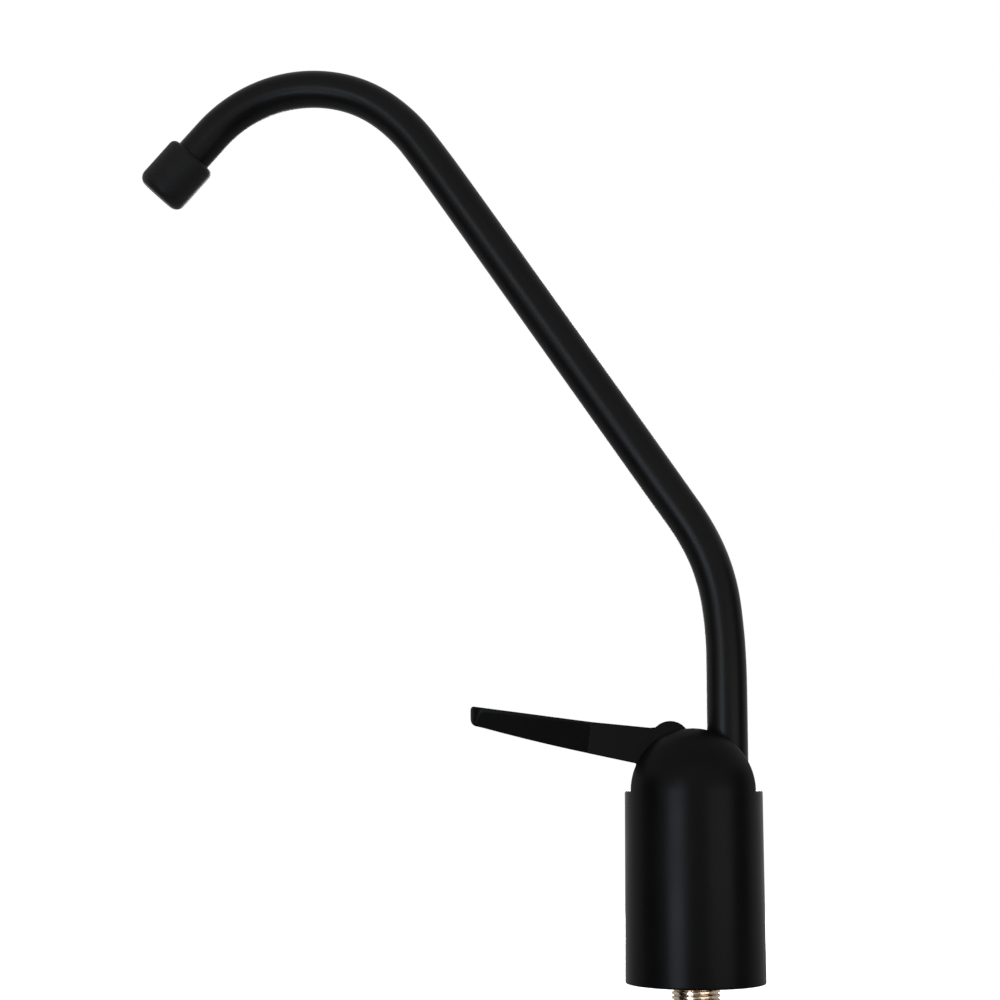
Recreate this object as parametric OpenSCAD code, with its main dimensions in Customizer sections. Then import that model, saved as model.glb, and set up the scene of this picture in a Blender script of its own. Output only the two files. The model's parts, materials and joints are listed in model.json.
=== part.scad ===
// Drinking water filter tap: a self-closing lever valve under a swivelling gooseneck spout.
// Millimetres, Z up, +X to the rear. The origin is the centre of the body's underside.

/* [Body] */
// Outside diameter of the body
body_d = 32; // [30:0.5:40]
// Height of the body wall, from the worktop to the floor of the lever slot
body_h = 44; // [42:0.5:60]
// Width of the lever slot between the two domed cheeks
slot_w = 13.4; // [13:0.2:17]
// Wall of the body around the valve core
shell_wall = 1.8; // [1.2:0.1:2.4]
// Thickness of the deck that forms the slot floor
deck_t = 4; // [3:0.5:6]
// Rounding of the cheeks' rims
rim_round = 0.4; // [0.2:0.1:1]
// Rounding of the body's foot and shoulders
foot_round = 0.5; // [0.2:0.1:0.8]

/* [Lever] */
// Height of the pivot pin above the slot floor
pin_h = 11.4; // [11:0.2:14]
// Diameter of the pivot pin
pin_d = 2.5; // [2:0.1:3]
// Length of the lever from the pin to the end of its tip
lever_l = 47; // [38:0.25:60]
// Height of the tip's middle above the pin
tip_rise = 5.7; // [3:0.1:8]
// Thickness of the lever at its tip
tip_t = 4.4; // [3:0.1:6]
// Width of the lever at its tip
tip_w = 11.6; // [9:0.2:13]
// Length of the straight-sided hub block from the pin to the neck
neck_l = 18.35; // [15:0.25:24]
// Height of the neck's middle above the pin
neck_rise = 0.75; // [0.4:0.05:1.4]
// Thickness of the lever at the neck
neck_t = 7.3; // [6.5:0.1:8.5]
// How far the underside falls between the neck and the heel
heel_fall = 2.2; // [1.6:0.1:3]
// Radius of the knuckle around the pin
hub_r = 4.65; // [4.5:0.05:5.2]
// Lean of the paddle's undercut sides
undercut = 15; // [5:1:20]
// Gap between the lever and each cheek
side_gap = 0.6; // [0.3:0.1:0.9]
// Angle by which the lever is pressed to open the valve
press_max = 20; // [12:1:22]
// Lift of the valve stem at full press
valve_lift = 1.6; // [1:0.005:1.9]

/* [Valve] */
// Diameter of the valve stem
stem_d = 4.5; // [4:0.1:5]
// Width of the stem's eye along the pin
eye_w = 4.8; // [4:0.1:5.6]
// Radius of the stem's eye
eye_r = 3.2; // [2.8:0.1:3.4]
// Bore of the valve seat
seat_bore = 4.2; // [3.6:0.1:4.4]
// Land width of the valve seat
seat_land = 0.9; // [0.6:0.1:1]
// Height of the valve seat above the chamber floor
seat_h = 1; // [0.6:0.1:1.6]
// Thickness of the rubber seat washer
seat_washer_t = 1.5; // [1:0.1:2]
// Diameter of the valve chamber
chamber_d = 8.8; // [8.6:0.1:9.2]
// Outside diameter of the bonnet's thread
bonnet_d = 10.4; // [10:0.1:10.8]
// Length of the bonnet in the core
bonnet_grip = 8; // [6:0.5:9]
// Height of the bonnet's hexagon
bonnet_hex_h = 2.2; // [1.6:0.1:2.6]
// Thickness of the wear washer under the lever's heel
cam_washer_t = 0.8; // [0.5:0.1:1]
// Wire diameter of the return spring
spring_wire = 0.8; // [0.6:0.05:0.9]
// Turns of the return spring
spring_turns = 5; // [4:1:5]

/* [Spout] */
// Outside diameter of the spout tube
tube_d = 9.5; // [9:0.1:10]
// Wall of the spout tube
tube_wall = 1; // [0.8:0.1:1.2]
// Straight riser from the slot floor to the first bend
riser_h = 33.2; // [30:0.1:60]
// Radius of the first bend, on the tube's axis
bend_low_r = 57.5; // [30:0.5:70]
// Lean of the straight run from upright
lean = 34.65; // [20:0.05:45]
// Length of the straight run
run_l = 110.9; // [80:0.1:150]
// Radius of the hook, on the tube's axis
bend_top_r = 32.8; // [24:0.1:45]
// Turn of the hook
hook = 103.3; // [90:0.1:120]
// Bare tube between the hook and the nozzle
tip_l = 6.9; // [4:0.1:20]
// Wall of the core outside the spout socket
socket_wall = 1.3; // [1.1:0.1:1.8]
// Thickness of the swivel O-rings
oring_t = 1.15; // [1:0.05:1.2]
// Thickness of the snap ring
clip_t = 1; // [0.8:0.1:1.2]
// Radius of the spout bush's flange
bush_flange_r = 6; // [5.7:0.1:6.2]
// Height of the spout bush's flange
bush_flange_h = 1; // [0.6:0.1:1.6]

/* [Nozzle] */
// Outside diameter of the nozzle
nozzle_d = 12.8; // [12.4:0.1:16]
// Length of the nozzle
nozzle_l = 13.1; // [12.6:0.1:18]
// Rounding of the nozzle's edges
nozzle_round = 1.1; // [0.4:0.1:1.3]
// Depth of tube inside the nozzle
tube_grip = 7.5; // [5:0.1:7.8]
// Thickness of the nozzle's rubber seal
nozzle_seal_t = 1.2; // [0.8:0.1:1.5]
// Flat lip inside the rounding at the outlet
outlet_lip = 0.15; // [0.1:0.05:0.4]
// Thickness of the flow straightener
straightener_t = 2.4; // [1.6:0.1:2.6]

/* [Shank] */
// Outside diameter of the shank's thread
thread_d = 11.11; // [10.6:0.01:11.6]
// Pitch of the shank's thread
thread_pitch = 1.058; // [1.05:0.001:1.1]
// Length of the shank below the body
shank_l = 50; // [46:1:70]
// Length of the shank screwed into the core
shank_grip = 10; // [8:0.5:11]
// Bore of the shank
shank_bore = 5.2; // [4.6:0.1:5.6]
// Diameter of the supply tube's socket in the foot of the shank
supply_d = 6.5; // [6:0.05:7]
// Depth of the supply tube's socket
supply_depth = 14; // [8:0.5:20]
// Thickness of the seal at the top of the shank
shank_seal_t = 1.2; // [0.8:0.1:1.4]
// Thickness of the gasket under the body
gasket_t = 2; // [1.5:0.1:2.5]

/* [Clamp] */
// Thickness of the worktop between the body and the clamp
worktop_t = 24; // [8:1:26]
// Outside diameter of the clamp washer
clamp_d = 26; // [20:0.5:34]
// Thickness of the rubber clamp ring
clamp_rubber_t = 2.5; // [1.5:0.1:3]
// Thickness of the steel clamp washer
clamp_washer_t = 1.5; // [1:0.1:2]
// Thickness of the split lock washer
lock_t = 1.6; // [1.2:0.1:2]
// Width of the mounting nut across its flats
nut_af = 17.5; // [16:0.1:20]
// Height of the mounting nut
nut_h = 6.5; // [5:0.1:7]

/* [Hidden] */
$fn = 96;
// Clearances: fixed joints, running fits, loose holes over the thread
fit_clear = 0.02;
run_clear = 0.05;
loose_clear = 0.35;
over = 1;
// Step and lap where the spout's straight stretches meet its bends
seam = 0.03;
seam_lap = 0.4;

body_r = body_d / 2;
bore_r = body_r - shell_wall;
core_r = bore_r - run_clear;
deck_z = body_h - deck_t;
slot_half = slot_w / 2;

tube_r = tube_d / 2;
tube_bore_r = tube_r - tube_wall;
socket_r = tube_r + run_clear;
spout_x = core_r - socket_wall - socket_r;

// The bonnet's hexagon turns between the cheeks and stands clear of the spout bush
hex_gap = 0.3;
bush_gap = 1.65;
hex_corner_r = slot_half - hex_gap;
hex_flat_r = hex_corner_r * cos(30);
stem_x = spout_x - bush_flange_r - bush_gap - hex_flat_r;

thread_r = thread_d / 2;
thread_depth = 0.5;
pitch_r = thread_r - thread_depth / 2;
thread_land = 0.6 * thread_pitch;

// Heights from the worktop up
core_z = gasket_t;
shank_top_z = core_z + shank_grip;
seal_top_z = shank_top_z + shank_seal_t;
gallery_r = 2;
gallery_floor = 0.8;
gallery_z = seal_top_z + gallery_floor + gallery_r;
chamber_z = gallery_z + gallery_r + gallery_floor;
seat_z = chamber_z + seat_h;
port_r = 1.7;
port_z = seat_z + seat_washer_t + port_r;
socket_z = port_z - port_r;
stub_z = port_z + port_r + 0.5;
bonnet_z = deck_z - bonnet_grip;
hex_z = body_h + bonnet_hex_h;
cam_z = hex_z + cam_washer_t;
pin_z = body_h + pin_h;

// Valve train
stem_r = stem_d / 2;
stem_bore_r = stem_r + run_clear;
chamber_r = chamber_d / 2;
seat_gap = run_clear;
disc_r = seat_bore / 2 + seat_land + 0.3;
foot_z = seat_z + seat_gap + seat_washer_t;
foot_t = 1.6;
foot_r = chamber_r - 0.6;
spring_z = foot_z + foot_t;
spring_r = (stem_r + foot_r) / 2 + 0.2;
screw_r = 0.9;
screw_head_r = 1.5;
screw_head_h = 1;
screw_grip = 4;
stem_oring_t = 1.1;
stem_groove_z = (bonnet_z + body_h) / 2;

// Lever heel: an involute of the circle cam_base, so the stem lifts evenly with the press
cam_clear = 0.15;
cam_base = valve_lift / (press_max * PI / 180);
heel_depth = pin_z - cam_z - cam_clear;
lever_half = slot_half - side_gap;
pin_r = pin_d / 2;
pin_bore_r = pin_r + run_clear;
fork_half = eye_w / 2 + 0.2;

// Spout path, from bend to bend
bend_low_z = body_h + riser_h;
bend_low_c = [spout_x - bend_low_r, bend_low_z];
run_start = bend_low_c + bend_low_r * [cos(lean), sin(lean)];
run_end = run_start + run_l * [-sin(lean), cos(lean)];
bend_top_c = run_end - bend_top_r * [cos(lean), sin(lean)];
tip_turn = lean + hook;
tip_start = bend_top_c + bend_top_r * [cos(tip_turn), sin(tip_turn)];

// Spout foot
clip_drop = 3;
clip_z = deck_z - clip_drop;
clip_reach = 0.55;
clip_groove_r = tube_r - 0.65;
stub_top_z = deck_z - 1;
stub_bore_r = 2.4;
spigot_h = 7;
oring_groove_r = tube_r - oring_t - 0.02;
oring_groove_h = oring_t + 0.4;
oring_zs = [stub_z + 1.6, stub_z + 4.6];
bush_r = bush_flange_r - 0.5;

// Outlet pocket
outlet_r = nozzle_d / 2 - nozzle_round - outlet_lip;

// Clamp stack, downwards
clamp_z = -worktop_t;
clamp_washer_z = clamp_z - clamp_rubber_t;
lock_z = clamp_washer_z - clamp_washer_t;
nut_z = lock_z - lock_t;
nut_foot_z = nut_z - nut_h;
tail_z = nut_foot_z - thread_pitch / 2;
clamp_hole_r = thread_r + loose_clear;

// A rectangle from the axis out to r, with its outer corners rounded at the foot and the top
module turned_profile(r, h, foot = 0, top = 0) {
    difference() {
        square([r, h]);
        if (foot > 0) outer_corner(r, foot, 0);
        if (top > 0) translate([0, h]) outer_corner(r, top, 1);
    }
}

// What rounding takes off an outer corner
module outer_corner(r, round, upper) {
    mirror([0, upper]) difference() {
        translate([r - round, -over]) square([round + over, round + over]);
        translate([r - round, round]) circle(round);
    }
}

// A flat ring with its lower face at z
module ring(outer_r, inner_r, z, h) {
    translate([0, 0, z]) difference() {
        cylinder(r = outer_r, h = h);
        translate([0, 0, -over]) cylinder(r = inner_r, h = h + 2 * over);
    }
}

// A round hole from z_low to z_high
module hole(r, z_low, z_high) {
    translate([0, 0, z_low]) cylinder(r = r, h = z_high - z_low);
}

// A seal ring of round section, with its middle at z
module oring(inner_r, thick, z) {
    translate([0, 0, z]) rotate_extrude() translate([inner_r + thick / 2, 0]) circle(thick / 2);
}

module at_stem() {
    translate([stem_x, 0, 0]) children();
}

module at_spout() {
    translate([spout_x, 0, 0]) children();
}

// The lever's own frame: the origin on the pin's axis
module at_pin() {
    translate([stem_x, 0, pin_z]) children();
}

// The nozzle's own frame: Z along the flow, the origin at the nozzle's shoulder
module at_nozzle() {
    translate([tip_start[0], 0, tip_start[1]]) rotate([0, -tip_turn, 0]) translate([0, 0, tip_l]) children();
}

// Section of a cheek through its pole: a slice of the dome with a rounded rim
module cheek_section() {
    centre = [sqrt(pow(body_r - rim_round, 2) - pow(slot_half + rim_round, 2)), slot_half + rim_round];
    on_dome = centre * body_r / (body_r - rim_round);
    difference() {
        intersection() {
            circle(body_r);
            translate([0, slot_half]) square(body_r);
        }
        polygon([centre, [centre[0], slot_half], [body_r + over, slot_half], on_dome * 1.1]);
    }
    translate(centre) circle(rim_round);
}

module cheek() {
    translate([0, 0, body_h]) rotate([90, 0, 0]) rotate_extrude(angle = 180) cheek_section();
    intersection() {
        hole(body_r, body_h - foot_round, body_h);
        translate([-body_r, -body_r - slot_half, 0]) cube([body_d, body_r, body_h]);
    }
}

module body_shell() {
    color("#1b1c1e") difference() {
        union() {
            rotate_extrude() turned_profile(body_r, body_h, foot_round, foot_round);
            cheek();
            mirror([0, 1, 0]) cheek();
        }
        hole(bore_r, -over, deck_z);
        at_stem() hole(bonnet_d / 2 + fit_clear, deck_z - over, body_h + over);
        at_spout() hole(bush_r + fit_clear, deck_z - over, body_h + over);
    }
}

module valve_core() {
    color("#b08d4f") difference() {
        hole(core_r, core_z, deck_z);
        hole(pitch_r + fit_clear, core_z - over, seal_top_z);
        hole(shank_bore / 2, core_z, gallery_z);
        translate([0, 0, gallery_z]) rotate([0, -90, 0]) cylinder(r = gallery_r, h = -stem_x);
        at_stem() {
            hole(seat_bore / 2, gallery_z, seat_z + over);
            hole(chamber_r, seat_z, deck_z + over);
            ring(chamber_r, seat_bore / 2 + seat_land, chamber_z, seat_h + over);
            hole(bonnet_d / 2 + fit_clear, bonnet_z, deck_z + over);
            translate([0, 0, port_z]) rotate([0, 90, 0]) cylinder(r = port_r, h = spout_x - stem_x);
        }
        at_spout() {
            hole(socket_r, socket_z, deck_z + over);
            hole(tube_r + clip_reach + run_clear, clip_z - run_clear, clip_z + clip_t + run_clear);
        }
    }
}

// Thread grooves as closed rings, from z_low up
module thread_grooves(z_low, z_high) {
    gap = thread_pitch - thread_land;
    count = floor((z_high - z_low) / thread_pitch);
    root_r = thread_r - thread_depth;
    open_r = thread_r + thread_depth;
    for (i = [0 : count - 1]) translate([0, 0, z_low + (i + 0.5) * thread_pitch]) rotate_extrude()
        polygon([[root_r, -gap / 8], [open_r, -gap * 7 / 8], [open_r, gap * 7 / 8], [root_r, gap / 8]]);
}

module threaded_shank() {
    color("#c9a876") difference() {
        union() {
            hole(pitch_r, -shank_l, shank_top_z);
            hole(thread_r, nut_z, core_z);
            hole(thread_r, -shank_l, tail_z);
        }
        thread_grooves(nut_z, core_z);
        thread_grooves(-shank_l, tail_z);
        hole(shank_bore / 2, -shank_l - over, shank_top_z + over);
        hole(supply_d / 2, -shank_l - over, supply_depth - shank_l);
    }
}

module shank_seal() {
    color("#7a3b2a") ring(pitch_r - 0.1, shank_bore / 2, shank_top_z, shank_seal_t);
}

module bonnet_nut() {
    color("#b9995c") at_stem() difference() {
        union() {
            hole(bonnet_d / 2, bonnet_z, hex_z);
            translate([0, 0, body_h]) rotate([0, 0, 30]) cylinder(r = hex_corner_r, h = bonnet_hex_h, $fn = 6);
        }
        hole(stem_bore_r, bonnet_z - over, hex_z + over);
        ring(stem_bore_r + stem_oring_t + run_clear, stem_r / 2, stem_groove_z - stem_oring_t / 2 - run_clear,
            stem_oring_t + 2 * run_clear);
    }
}

module cam_washer() {
    color("#c4c6c8") at_stem() ring(hex_flat_r - 0.4, stem_r + loose_clear, hex_z, cam_washer_t);
}

module stem_oring() {
    color("#161616") at_stem() oring(stem_bore_r, stem_oring_t, stem_groove_z);
}

module valve_stem() {
    color("#c2a15f") difference() {
        union() {
            at_stem() hole(foot_r, foot_z, spring_z);
            at_stem() hole(stem_r, spring_z, pin_z);
            at_pin() rotate([90, 0, 0]) cylinder(r = eye_r, h = eye_w, center = true);
        }
        at_pin() rotate([90, 0, 0]) cylinder(r = pin_bore_r, h = eye_w + 2 * over, center = true);
        at_stem() hole(screw_r + fit_clear, foot_z - over, foot_z + screw_grip);
    }
}

module seat_washer() {
    color("#202020") at_stem() ring(disc_r, screw_r + fit_clear, seat_z + seat_gap, seat_washer_t);
}

module seat_screw() {
    color("#c4c6c8") at_stem() difference() {
        union() {
            hole(screw_r, foot_z - seat_washer_t, foot_z + screw_grip - 0.2);
            hole(screw_head_r, foot_z - seat_washer_t - screw_head_h, foot_z - seat_washer_t);
        }
        translate([0, 0, foot_z - seat_washer_t - screw_head_h]) cube([2 * screw_head_r, 0.4, 0.8], center = true);
    }
}

// Return spring: one tube swept along a helix, in rings of coil_sides points
coil_rings = 8;
coil_sides = 6;
spring_r_wire = spring_wire / 2;
spring_low = spring_z + spring_r_wire;
spring_rise = bonnet_z - spring_r_wire - spring_low;
spring_steps = spring_turns * coil_rings;
spring_axis = [for (i = [0 : spring_steps])
    let (turn = 360 * i / coil_rings)
    [spring_r * cos(turn), spring_r * sin(turn), spring_low + spring_rise * i / spring_steps]];
spring_points = [for (i = [0 : spring_steps], j = [0 : coil_sides - 1])
    let (turn = 360 * i / coil_rings, side = 360 * j / coil_sides)
    spring_axis[i] + spring_r_wire * [cos(side) * cos(turn), cos(side) * sin(turn), sin(side)]];
spring_walls = [for (i = [0 : spring_steps - 1], j = [0 : coil_sides - 1])
    let (next = (j + 1) % coil_sides, a = i * coil_sides, b = a + coil_sides)
    each [[a + j, a + next, b + j], [a + next, b + next, b + j]]];
spring_last = spring_steps * coil_sides;
spring_ends = [for (j = [1 : coil_sides - 2])
    each [[0, j + 1, j], [spring_last, spring_last + j, spring_last + j + 1]]];
spring_gap = min([for (i = [0 : spring_steps], k = [i + coil_rings / 2 : spring_steps])
    norm(spring_axis[i] - spring_axis[k])]) - spring_wire;
echo(str("least gap between the turns of the return spring: ", spring_gap, " mm"));

module return_spring() {
    color("#9a9da0") at_stem() polyhedron(spring_points, concat(spring_walls, spring_ends));
}

module pivot_pin() {
    color("#c4c6c8") at_pin() rotate([90, 0, 0])
        cylinder(r = pin_r, h = 2 * lever_half - 2 * run_clear, center = true);
}

// Point of the heel that meets the wear washer when the lever is pressed by an angle
function heel_point(press) =
    let (depth = heel_depth + cam_base * press * PI / 180)
    [-cam_base * cos(press) - depth * sin(press), cam_base * sin(press) - depth * cos(press)];

// Side view of the lever: tip to the left, the pin at the origin, the heel below it
module lever_side() {
    tip_r = tip_t / 2;
    tip_centre = [tip_r - lever_l, tip_rise];
    neck_top = [-neck_l, neck_rise + neck_t / 2];
    neck_foot = [-neck_l, neck_rise - neck_t / 2];
    toe = heel_point(press_max);
    throat = [toe[0] - 0.35, neck_foot[1] - heel_fall];
    translate(tip_centre) circle(tip_r);
    polygon(concat(
        [[0, 0], [-hub_r, 3.2], neck_top, tip_centre + [0, tip_r], tip_centre - [0, tip_r], neck_foot, throat],
        [for (i = [5 : -1 : 0]) heel_point(press_max * i / 5)],
        [[0, -heel_depth]]));
    circle(hub_r);
    intersection() {
        circle(heel_depth);
        translate([-over, -heel_depth]) square([hub_r + over, heel_depth]);
    }
}

// Plan view of the lever: straight hub block, then a paddle that narrows to a rounded tip
module lever_plan() {
    corner_r = tip_w / 3;
    corner = [corner_r - lever_l, tip_w / 2 - corner_r];
    translate([-neck_l, -lever_half]) square([neck_l + heel_depth + over, 2 * lever_half]);
    polygon([[-neck_l, lever_half], [corner[0], tip_w / 2], [corner[0], -tip_w / 2], [-neck_l, -lever_half]]);
    translate([-lever_l, -corner[1]]) square([corner_r + over, 2 * corner[1]]);
    for (side = [-1, 1]) translate([corner[0], side * corner[1]]) circle(corner_r);
}

// What the undercut takes off one side of the paddle
module paddle_undercut() {
    top = neck_rise + neck_t / 2;
    rise = atan((tip_rise + tip_t / 2 - top) / (lever_l - neck_l));
    taper = atan((lever_half - tip_w / 2) / (lever_l - neck_l));
    translate([-neck_l, -lever_half, top]) rotate([0, rise, 0]) rotate([undercut, 0, -taper])
        translate([-lever_l, -lever_half, -lever_l]) cube([lever_l, lever_half, lever_l]);
}

// Room for the stem's eye, and for the stem as the lever turns about it
module fork() {
    stem_swing = stem_r + heel_depth * sin(press_max) + 0.8;
    rotate([90, 0, 0]) cylinder(r = eye_r + 0.3, h = 2 * fork_half, center = true);
    translate([-stem_swing, -fork_half, -2 * heel_depth])
        cube([stem_swing + 2 * heel_depth, 2 * fork_half, 2 * heel_depth]);
    translate([0, -fork_half, -over]) cube([2 * heel_depth, 2 * fork_half, over + 1.2]);
}

module lever() {
    color("#202122") at_pin() difference() {
        intersection() {
            rotate([90, 0, 0]) linear_extrude(2 * lever_half, center = true) lever_side();
            linear_extrude(2 * lever_l, center = true) lever_plan();
        }
        paddle_undercut();
        mirror([0, 1, 0]) paddle_undercut();
        fork();
        rotate([90, 0, 0]) cylinder(r = pin_bore_r, h = slot_w, center = true);
    }
}

// The spout's path as a solid of radius r, from z_low in the socket to tip_more beyond the nozzle's shoulder.
// The straight stretches are a hair slimmer than the bends and lap into them, so that all join as one solid
module spout_path(r, z_low, tip_more) {
    straight_r = r - seam;
    at_spout() hole(straight_r, z_low, bend_low_z + seam_lap);
    translate([bend_low_c[0], 0, bend_low_c[1]]) rotate([90, 0, 0])
        rotate_extrude(angle = lean) translate([bend_low_r, 0]) circle(r);
    translate([run_start[0], 0, run_start[1]]) rotate([0, -lean, 0])
        hole(straight_r, -seam_lap, run_l + seam_lap);
    translate([bend_top_c[0], 0, bend_top_c[1]]) rotate([90, 0, 0]) rotate([0, 0, lean])
        rotate_extrude(angle = hook) translate([bend_top_r, 0]) circle(r);
    at_nozzle() hole(straight_r, -tip_l - seam_lap, tip_more);
}

module spout_tube() {
    color("#1b1c1e") difference() {
        spout_path(tube_r, stub_top_z, tube_grip);
        spout_path(tube_bore_r, stub_top_z - over, tube_grip + over);
    }
}

module spout_stub() {
    color("#b9995c") at_spout() difference() {
        union() {
            hole(tube_r, stub_z, stub_top_z);
            hole(tube_bore_r - seam - fit_clear, stub_z, stub_top_z + spigot_h);
        }
        hole(stub_bore_r, stub_z - over, stub_top_z + spigot_h + over);
        for (z = oring_zs) ring(tube_r + over, oring_groove_r, z - oring_groove_h / 2, oring_groove_h);
        ring(tube_r + over, clip_groove_r, clip_z - run_clear, clip_t + 2 * run_clear);
    }
}

module spout_oring(i) {
    color("#161616") at_spout() oring(oring_groove_r, oring_t, oring_zs[i]);
}

module spout_clip() {
    opening = 40;
    inner_r = clip_groove_r + run_clear;
    color("#c4c6c8") at_spout() translate([0, 0, clip_z]) rotate([0, 0, opening / 2])
        rotate_extrude(angle = 360 - opening) translate([inner_r, 0]) square([tube_r + clip_reach - inner_r, clip_t]);
}

module spout_bush() {
    color("#2a2b2d") at_spout() difference() {
        union() {
            hole(bush_r, deck_z, body_h + bush_flange_h);
            hole(bush_flange_r, body_h, body_h + bush_flange_h);
        }
        hole(socket_r, deck_z - over, body_h + bush_flange_h + over);
    }
}

module nozzle_sleeve() {
    pocket_z = tube_grip + nozzle_seal_t;
    color("#2b2c2e") at_nozzle() difference() {
        rotate_extrude() turned_profile(nozzle_d / 2, nozzle_l, nozzle_round, nozzle_round);
        hole(tube_r + fit_clear, -over, pocket_z);
        hole(outlet_r, pocket_z, nozzle_l + over);
    }
}

module flow_straightener() {
    hole_r = 0.55;
    ring_step = 1.6;
    rings = floor((outlet_r - hole_r - 0.6) / ring_step);
    z = tube_grip + nozzle_seal_t;
    color("#3a3b3d") at_nozzle() difference() {
        hole(outlet_r - fit_clear, z, z + straightener_t);
        for (k = [0 : rings], i = [0 : max(1, 6 * k) - 1])
            rotate([0, 0, i * 60 / max(k, 1)]) translate([k * ring_step, 0, 0])
                hole(hole_r, z - over, z + straightener_t + over);
    }
}

module nozzle_seal() {
    color("#161616") at_nozzle() ring(tube_r, tube_bore_r, tube_grip, nozzle_seal_t);
}

module base_gasket() {
    color("#161616") ring(core_r, clamp_hole_r, 0, gasket_t);
}

module clamp_rubber() {
    color("#1a1a1a") ring(clamp_d / 2 - 0.5, clamp_hole_r, clamp_washer_z, clamp_rubber_t);
}

module clamp_washer() {
    color("#b9bbbd") ring(clamp_d / 2, clamp_hole_r, lock_z, clamp_washer_t);
}

module lock_washer() {
    split = 8;
    color("#a4a6a8") translate([0, 0, nut_z]) rotate_extrude(angle = 360 - split)
        translate([clamp_hole_r, 0]) square([nut_af / 2 - clamp_hole_r, lock_t]);
}

module mounting_nut() {
    chamfer = 1;
    corner_r = nut_af / 2 / cos(30);
    color("#c2a15f") difference() {
        intersection() {
            translate([0, 0, nut_foot_z]) cylinder(r = corner_r, h = nut_h, $fn = 6);
            translate([0, 0, nut_foot_z]) rotate_extrude()
                polygon([[0, 0], [corner_r - chamfer, 0], [corner_r, chamfer / 2], [corner_r, nut_h], [0, nut_h]]);
        }
        hole(pitch_r + fit_clear, nut_foot_z - over, nut_z + over);
    }
}

body_shell();
valve_core();
threaded_shank();
shank_seal();
bonnet_nut();
cam_washer();
stem_oring();
valve_stem();
seat_washer();
seat_screw();
return_spring();
pivot_pin();
lever();
spout_tube();
spout_stub();
spout_oring(0);  // spout_oring_lower
spout_oring(1);  // spout_oring_upper
spout_clip();
spout_bush();
nozzle_sleeve();
flow_straightener();
nozzle_seal();
base_gasket();
clamp_rubber();
clamp_washer();
lock_washer();
mounting_nut();
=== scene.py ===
import json
import math

import bmesh
import bpy
import numpy as np
from mathutils import Matrix, Vector


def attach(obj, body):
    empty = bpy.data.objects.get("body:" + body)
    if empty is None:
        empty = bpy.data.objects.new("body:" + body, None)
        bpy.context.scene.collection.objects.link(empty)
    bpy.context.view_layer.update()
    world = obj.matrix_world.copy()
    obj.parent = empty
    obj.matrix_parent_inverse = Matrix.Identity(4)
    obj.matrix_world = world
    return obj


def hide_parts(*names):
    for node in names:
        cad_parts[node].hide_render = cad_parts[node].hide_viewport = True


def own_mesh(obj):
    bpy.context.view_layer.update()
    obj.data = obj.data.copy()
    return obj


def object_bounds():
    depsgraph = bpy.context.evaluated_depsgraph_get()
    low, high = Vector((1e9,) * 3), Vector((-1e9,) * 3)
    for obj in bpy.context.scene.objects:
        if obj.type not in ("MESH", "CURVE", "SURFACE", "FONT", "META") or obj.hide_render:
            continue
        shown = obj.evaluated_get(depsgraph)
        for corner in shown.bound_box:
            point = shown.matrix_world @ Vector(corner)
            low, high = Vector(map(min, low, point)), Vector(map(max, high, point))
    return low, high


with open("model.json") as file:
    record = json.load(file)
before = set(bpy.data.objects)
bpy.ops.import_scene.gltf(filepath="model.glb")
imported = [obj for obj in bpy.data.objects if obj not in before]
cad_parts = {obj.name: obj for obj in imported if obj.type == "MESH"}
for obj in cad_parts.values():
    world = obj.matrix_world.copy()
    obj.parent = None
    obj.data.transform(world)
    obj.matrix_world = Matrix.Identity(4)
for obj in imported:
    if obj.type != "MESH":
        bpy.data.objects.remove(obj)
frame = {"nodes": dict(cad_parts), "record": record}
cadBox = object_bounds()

mm = 0.001
stemX = -5.14256                                    # the valve's axis, in millimetres
spoutX = 8.05                                       # the spout's axis


# small helpers for node trees

def put(tree, kind, inputs=None, **settings):
    made = tree.nodes.new(kind)
    for key, value in settings.items():
        setattr(made, key, value)
    for key, value in (inputs or {}).items():
        if isinstance(value, bpy.types.NodeSocket):
            tree.links.new(value, made.inputs[key])
        else:
            made.inputs[key].default_value = value
    return made


def calc(tree, operation, *values):
    return put(tree, "ShaderNodeMath", dict(enumerate(values)), operation=operation).outputs[0]


def vectorCalc(tree, operation, *values):
    made = put(tree, "ShaderNodeVectorMath", operation=operation)
    for key, value in enumerate(values):
        target = made.inputs["Scale"] if operation == "SCALE" and key == 1 else made.inputs[key]
        if isinstance(value, bpy.types.NodeSocket):
            tree.links.new(value, target)
        else:
            target.default_value = value
    return made.outputs["Value"] if operation in ("DOT_PRODUCT", "LENGTH") else made.outputs["Vector"]


def newTree(name, kind, inputs, outputs):
    tree = bpy.data.node_groups.new(name, kind)
    for label, socketKind, value in inputs:
        made = tree.interface.new_socket(name=label, in_out="INPUT", socket_type=socketKind)
        if value is not None:
            made.default_value = value
    for label, socketKind in outputs:
        tree.interface.new_socket(name=label, in_out="OUTPUT", socket_type=socketKind)
    return tree, tree.nodes.new("NodeGroupInput").outputs, tree.nodes.new("NodeGroupOutput").inputs


def endTree(tree, geometry, material, out):
    real = put(tree, "GeometryNodeRealizeInstances", {0: geometry})
    dressed = put(tree, "GeometryNodeSetMaterial", {"Geometry": real.outputs[0], "Material": material})
    tree.links.new(dressed.outputs[0], out[0])


# small helpers for meshes

def addPiece(name, mesh, material):
    piece = bpy.data.objects.new(name, mesh)
    bpy.context.scene.collection.objects.link(piece)
    mesh.materials.clear()
    mesh.materials.append(material)
    return piece


def meshFrom(name, points, faces):
    mesh = bpy.data.meshes.new(name)
    mesh.from_pydata([tuple(p) for p in points], [], [tuple(f) for f in faces])
    return mesh


def shade(mesh, sharpAngle):
    mesh.shade_smooth()
    mesh.set_sharp_from_angle(angle=math.radians(sharpAngle))


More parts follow.
